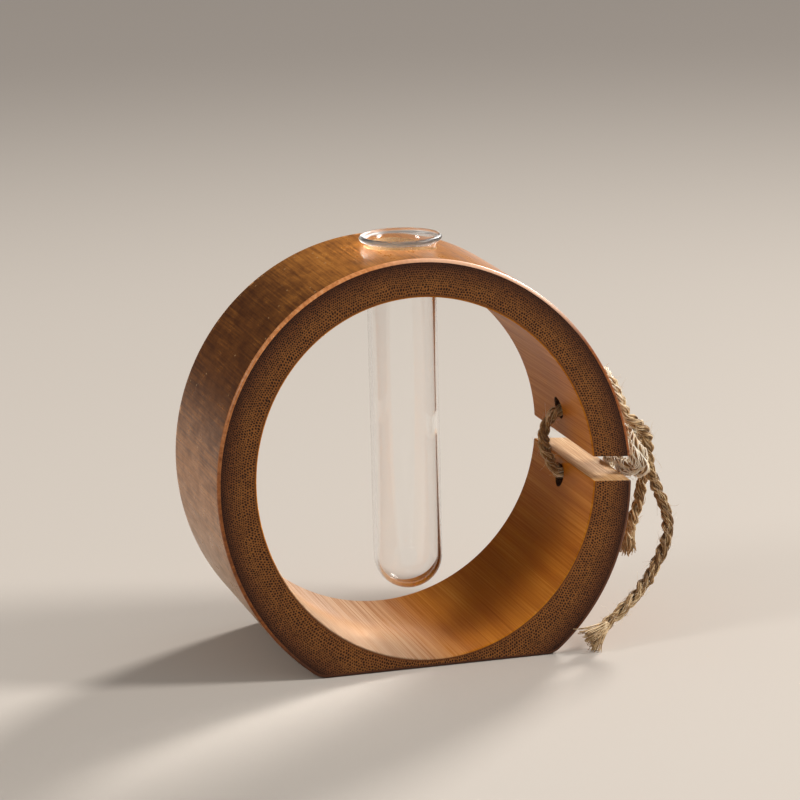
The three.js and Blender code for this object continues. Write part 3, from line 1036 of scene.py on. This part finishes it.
def skin_outline(start, end):
    """The ring's outside, seen from the front: from below the slit, under the foot, to above the slit."""
    foot_angle = math.asin(culm_middle_z / culm_half_height)
    foot_half = culm_half_width * math.cos(foot_angle)
    ease_angle = foot_angle - FOOT_EASE / culm_half_height

    def arc(first, last, count):
        return [oval_point(*CULM, angle) for angle in np.linspace(first, last, count)]

    def corner(side, backwards):
        t = np.linspace(0, 1, CORNER_STEPS)[:, None]
        on_foot = np.array([side * (foot_half - FOOT_EASE), 0])
        point = np.array([side * foot_half, 0])
        on_side = oval_point(*CULM, -ease_angle) * (side, 1)
        curve = on_foot * (1 - t) ** 2 + 2 * point * t * (1 - t) + on_side * t ** 2
        return list(curve[::-1] if backwards else curve)

    foot_across = np.linspace(foot_half - FOOT_EASE, FOOT_EASE - foot_half, FOOT_STEPS)
    foot = [np.array([x, 0]) for x in foot_across]
    right = arc(start, -ease_angle, RIGHT_STEPS)
    left = arc(-math.pi + ease_angle, end, LEFT_STEPS)
    return right[:-1] + corner(1, True) + foot[1:-1] + corner(-1, False) + left[1:]


def wall_sections():
    """Outer and inner point of each section of the wall, and how far it is drawn in at the slit's edges."""
    half = SLIT_WIDTH / 2
    lower, upper = [], []
    # The sections beside the slit: how far from it and how far drawn in, in shares of its edges' rounding
    for away, drawn_in in ((0, 1), (0.3, 0.3), (1, 0)):
        offset = half + away * SLIT_EDGE_ROUND
        for ends, sign in ((lower, -1), (upper, 1)):
            outer = oval_point(*CULM, slit_meets_oval(*CULM, sign * offset))
            inner = oval_point(*BORE_OVAL, slit_meets_oval(*BORE_OVAL, sign * offset))
            ends.append((outer, inner, drawn_in * SLIT_EDGE_ROUND))
    clear = half + SLIT_EDGE_ROUND
    skin_ends = slit_meets_oval(*CULM, -clear), slit_meets_oval(*CULM, clear) - 2 * math.pi
    bore_ends = slit_meets_oval(*BORE_OVAL, -clear), slit_meets_oval(*BORE_OVAL, clear) - 2 * math.pi
    middle = []
    for point in skin_outline(*skin_ends)[1:-1]:
        angle = math.atan2((point[1] - culm_middle_z) / culm_half_height, point[0] / culm_half_width)
        if angle > skin_ends[0]:
            angle -= 2 * math.pi
        share = (angle - skin_ends[0]) / (skin_ends[1] - skin_ends[0])
        inner = oval_point(*BORE_OVAL, bore_ends[0] + share * (bore_ends[1] - bore_ends[0]))
        middle.append((point, inner, 0.0))
    return lower + middle + upper[::-1]


def section_loop(outer, inner, drawn_in):
    """Points round one section of the wall, and the material of the face after each."""
    thickness = np.linalg.norm(inner - outer)
    rounding = np.linspace(0, math.pi / 2, ROUND_STEPS)[:-1]
    wall_rows = np.linspace(0, 1, WALL_ROWS)[:-1]
    face_rows = np.linspace(0, 1, FACE_ROWS)[:-1]
    skin_depth = drawn_in
    bore_depth = thickness - drawn_in
    face_start = skin_depth + EDGE_CHAMFER
    face_end = bore_depth - BORE_EDGE_ROUND
    loop, kinds = [], []

    def add(depth, y_share, y_shift, kind):
        x, z = outer + (inner - outer) * depth / thickness
        front = front_lean * z - back_y + drawn_in
        back = back_y - drawn_in
        loop.append((x, back + (front - back) * y_share + y_shift, z))
        kinds.append(kind)

    for row in wall_rows:
        add(skin_depth, row, EDGE_CHAMFER * (2 * row - 1), SKIN)
    for angle in rounding:
        depth = skin_depth + EDGE_CHAMFER * (1 - math.cos(angle))
        add(depth, 1, EDGE_CHAMFER * (1 - math.sin(angle)), CHAMFER)
    for row in face_rows:
        add(face_start + (face_end - face_start) * row, 1, 0, END_GRAIN)
    for angle in rounding:
        depth = bore_depth - BORE_EDGE_ROUND * (1 - math.sin(angle))
        add(depth, 1, BORE_EDGE_ROUND * (1 - math.cos(angle)), BORE)
    for row in wall_rows:
        add(bore_depth, 1 - row, BORE_EDGE_ROUND * (1 - 2 * row), BORE)
    for angle in rounding:
        depth = bore_depth - BORE_EDGE_ROUND * (1 - math.cos(angle))
        add(depth, 0, BORE_EDGE_ROUND * (math.sin(angle) - 1), BORE)
    for row in face_rows:
        add(face_end + (face_start - face_end) * row, 0, 0, END_GRAIN)
    for angle in rounding:
        depth = skin_depth + EDGE_CHAMFER * (1 - math.sin(angle))
        add(depth, 0, EDGE_CHAMFER * (math.cos(angle) - 1), CHAMFER)
    return loop, kinds


def ring_blank(materials):
    """The ring before its holes are drilled."""
    sections = wall_sections()
    loops = [section_loop(*section) for section in sections]
    vertices = [point for loop, _ in loops for point in loop]
    kinds = []
    for i in range(1, len(sections)):
        on_foot = all(outer[1] < ON_FOOT for outer, _, _ in sections[i - 1:i + 1])
        kinds.extend(CUT if on_foot and kind == SKIN else kind for kind in loops[i][1])
    count = len(loops[0][0])
    last = len(vertices) - count
    faces = loop_faces(len(loops), count)
    faces.append(tuple(range(count)))
    faces.append(tuple(range(last + count - 1, last - 1, -1)))
    kinds.extend([CUT, CUT])
    ring = add_mesh("bamboo_culm_ring", vertices, faces, materials, kinds)
    shape = bmesh.new()
    shape.from_mesh(ring.data)
    bmesh.ops.recalc_face_normals(shape, faces=shape.faces)
    shape.to_mesh(ring.data)
    shape.free()
    return ring


def round_cutter(name, radius, length, segments, matrix, material):
    made = bpy.data.meshes.new(name)
    shape = bmesh.new()
    bmesh.ops.create_cone(
        shape, cap_ends=True, segments=segments, radius1=radius, radius2=radius, depth=length, matrix=matrix
    )
    shape.to_mesh(made)
    shape.free()
    made.materials.append(material)
    cutter = bpy.data.objects.new(name, made)
    bpy.context.scene.collection.objects.link(cutter)
    return cutter


def hole_cutters(materials):
    """Cutters for the tube's hole in the crown and the twine's two holes beside the slit."""
    crown_middle = Vector((tube_middle.x, tube_middle.y, ring_height - CROWN_WALL / 2))
    cutters = [round_cutter(
        "tube_hole", tube_radius + TUBE_CLEARANCE, CROWN_WALL + 2 * CUTTER_MARGIN, TUBE_HOLE_SEGMENTS,
        Matrix.Translation(crown_middle), materials[CUT],
    )]
    wall_middle = culm_half_width - SIDE_WALL / 2
    for angle in TWINE_HOLE_ANGLES:
        place = Matrix.Translation((0, TWINE_HOLE_Y, culm_middle_z)) @ Matrix.Rotation(-angle, 4, "Y")
        place = place @ Matrix.Translation((wall_middle, 0, 0)) @ Matrix.Rotation(math.pi / 2, 4, "Y")
        cutters.append(round_cutter(
            "twine_hole", TWINE_HOLE_DIAMETER / 2, SIDE_WALL + 2 * CUTTER_MARGIN, TWINE_HOLE_SEGMENTS,
            place, materials[DRILLED],
        ))
    return cutters


def drill(ring, cutters):
    """Cuts the holes out of the ring's mesh. Their walls take the cutters' materials."""
    for cutter in cutters:
        cut = ring.modifiers.new(cutter.name, "BOOLEAN")
        cut.operation = "DIFFERENCE"
        cut.solver = "EXACT"
        cut.material_mode = "TRANSFER"
        cut.object = cutter
    bpy.context.view_layer.update()
    solid = ring.evaluated_get(bpy.context.evaluated_depsgraph_get())
    drilled = bpy.data.meshes.new_from_object(solid)
    ring.modifiers.clear()
    ring.data = drilled
    for cutter in cutters:
        bpy.data.objects.remove(cutter)


def make_ring():
    materials = [
        end_grain_material(), skin_material(), bore_material(), cut_material(), chamfer_material(),
        drilled_material(),
    ]
    ring = ring_blank(materials)
    drill(ring, hole_cutters(materials))
    ring.data.set_sharp_from_angle(angle=SHARP_ANGLE)
    weighted = ring.modifiers.new("weighted_normals", "WEIGHTED_NORMAL")
    weighted.keep_sharp = True
    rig.ride(ring, "ring")
    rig.replaces(ring, "bamboo_ring")
    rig.slot(ring, "bamboo")


# Glass tube
TUBE_SEGMENTS = 128
TUBE_STEPS = 20


def tube_profile():
    """Radius and height of points up the tube's outside, over its beaded lip and down its inside."""
    bead_reach = (tube_high.x - tube_low.x) / 2 - LIP_BEAD_RADIUS
    bead_z = tube_high.z - LIP_BEAD_RADIUS
    flare_centre = tube_radius + LIP_FLARE
    mid_flare = LIP_FLARE + TUBE_WALL / 2
    lip_angle = math.acos((flare_centre - bead_reach) / mid_flare)
    flare_z = bead_z - mid_flare * math.sin(lip_angle)
    bowl_z = tube_low.z + tube_radius
    inner_radius = tube_radius - TUBE_WALL

    def arc(centre_r, centre_z, radius, first, last):
        angles = np.linspace(first, last, TUBE_STEPS)
        return [(centre_r + radius * math.cos(a), centre_z + radius * math.sin(a)) for a in angles]

    def flare(radius):
        """A side of the flared wall, from the tube up to where it meets the bead."""
        squares = mid_flare ** 2 + radius ** 2 - LIP_BEAD_RADIUS ** 2
        short = math.acos(squares / (2 * mid_flare * radius))
        return arc(flare_centre, flare_z, radius, math.pi, math.pi - lip_angle + short)

    def wall(radius, first, last):
        return [(radius, z) for z in np.linspace(first, last, TUBE_STEPS)[1:-1]]

    def bead_angle(point):
        return math.atan2(point[1] - bead_z, point[0] - bead_reach)

    outer_flare = flare(LIP_FLARE)
    inner_flare = flare(LIP_FLARE + TUBE_WALL)
    bead_end = bead_angle(inner_flare[-1]) % (2 * math.pi)
    profile = arc(0, bowl_z, tube_radius, -math.pi / 2, 0)
    profile += wall(tube_radius, bowl_z, flare_z)
    profile += outer_flare
    profile += arc(bead_reach, bead_z, LIP_BEAD_RADIUS, bead_angle(outer_flare[-1]), bead_end)[1:-1]
    profile += inner_flare[::-1]
    profile += wall(inner_radius, flare_z, bowl_z)
    profile += arc(0, bowl_z, inner_radius, 0, -math.pi / 2)
    return profile


def make_tube():
    profile = tube_profile()
    rings = profile[1:-1]
    turn = np.linspace(0, 2 * math.pi, TUBE_SEGMENTS, endpoint=False)
    x, y = tube_middle.x, tube_middle.y
    vertices = [(x + r * math.cos(a), y + r * math.sin(a), z) for r, z in rings for a in turn]
    faces = loop_faces(len(rings), TUBE_SEGMENTS)
    outer_pole = len(vertices)
    inner_pole = outer_pole + 1
    vertices += [(x, y, profile[0][1]), (x, y, profile[-1][1])]
    last = outer_pole - TUBE_SEGMENTS
    for k in range(TUBE_SEGMENTS):
        after = (k + 1) % TUBE_SEGMENTS
        faces.append((outer_pole, after, k))
        faces.append((inner_pole, last + k, last + after))
    tube = add_mesh("glass_test_tube", vertices, faces, [glass_material()], body="tube")
    tube.visible_shadow = False
    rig.replaces(tube, "glass_tube")
    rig.slot(tube, "glass")


# Stage
FLOOR_REACH = 5.0
FLOOR_NEAR = 0.45
FLOOR_FAR = 1.3
NEAR_FLOOR = colour(0.48, 0.44, 0.4)
FAR_FLOOR = colour(0.31, 0.28, 0.255)
LIGHT_TINT = colour(1.0, 0.97, 0.93)
LIGHT_TARGET = Vector((0, 0, 0.05))
FRONT_SKY = 0.38
BACK_SKY = 0.06
SKY_DIMS_BETWEEN = (0.4, 0.85)
KEY_PLACE = (1.44, 1.56, 1.08)
KEY_ENERGY = 3.9
KEY_ANGLE = math.radians(12)
SOFTBOX_SIZE = 0.35
SOFTBOXES = [  # name, place and power
    ("left", (-1.05, -0.15, 0.75), 4),
    ("right", (1.0, -0.3, 0.85), 14),
]


def make_floor():
    material, make, surface = start_material("pale_floor")
    place = make.node("TexCoord", {}).outputs["Object"]
    away = make.node("VectorMath", {0: place}, operation="LENGTH").outputs["Value"]
    base = make.mix(make.step(away, FLOOR_NEAR, FLOOR_FAR), NEAR_FLOOR, FAR_FLOOR)
    make.fill(surface, {"Base Color": base, "Roughness": 0.9, "Specular IOR Level": 0.0})
    corners = [(x * FLOOR_REACH, y * FLOOR_REACH, 0) for x, y in ((-1, -1), (1, -1), (1, 1), (-1, 1))]
    floor = add_mesh("floor", corners, [(0, 1, 2, 3)], [material])
    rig.stage(floor)


def make_world():
    """A plain sky, dim towards the back, so that the wood's grazing reflections keep its colour."""
    world = bpy.data.worlds.new("world")
    bpy.context.scene.world = world
    world.use_nodes = True
    make = Nodes(world.node_tree)
    direction = make.node("TexCoord", {}).outputs["Generated"]
    away = make.node("SeparateXYZ", {"Vector": direction}).outputs["Y"]
    make.fill(world.node_tree.nodes["Background"], {
        "Color": LIGHT_TINT,
        "Strength": make.step(away, *SKY_DIMS_BETWEEN, FRONT_SKY, BACK_SKY),
    })


def add_light(data, place):
    data.color = LIGHT_TINT[:3]
    made = bpy.data.objects.new(data.name, data)
    made.location = place
    made.rotation_euler = (LIGHT_TARGET - Vector(place)).to_track_quat("-Z", "Y").to_euler()
    bpy.context.scene.collection.objects.link(made)


def make_lights():
    key = bpy.data.lights.new("key", "SUN")
    key.energy = KEY_ENERGY
    key.angle = KEY_ANGLE
    add_light(key, KEY_PLACE)
    for name, place, power in SOFTBOXES:
        softbox = bpy.data.lights.new(name, "AREA")
        softbox.shape = "DISK"
        softbox.size = SOFTBOX_SIZE
        softbox.energy = power
        add_light(softbox, place)


make_camera()
make_twine()
make_ring()
make_tube()
make_floor()
make_world()
make_lights()
bpy.context.scene.view_settings.view_transform = "Standard"

with open("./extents.json", "w") as file:
    boxes = {"cad": cad_box, "visual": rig.bounds()}
    json.dump({name: [list(corner) for corner in box] for name, box in boxes.items()}, file)
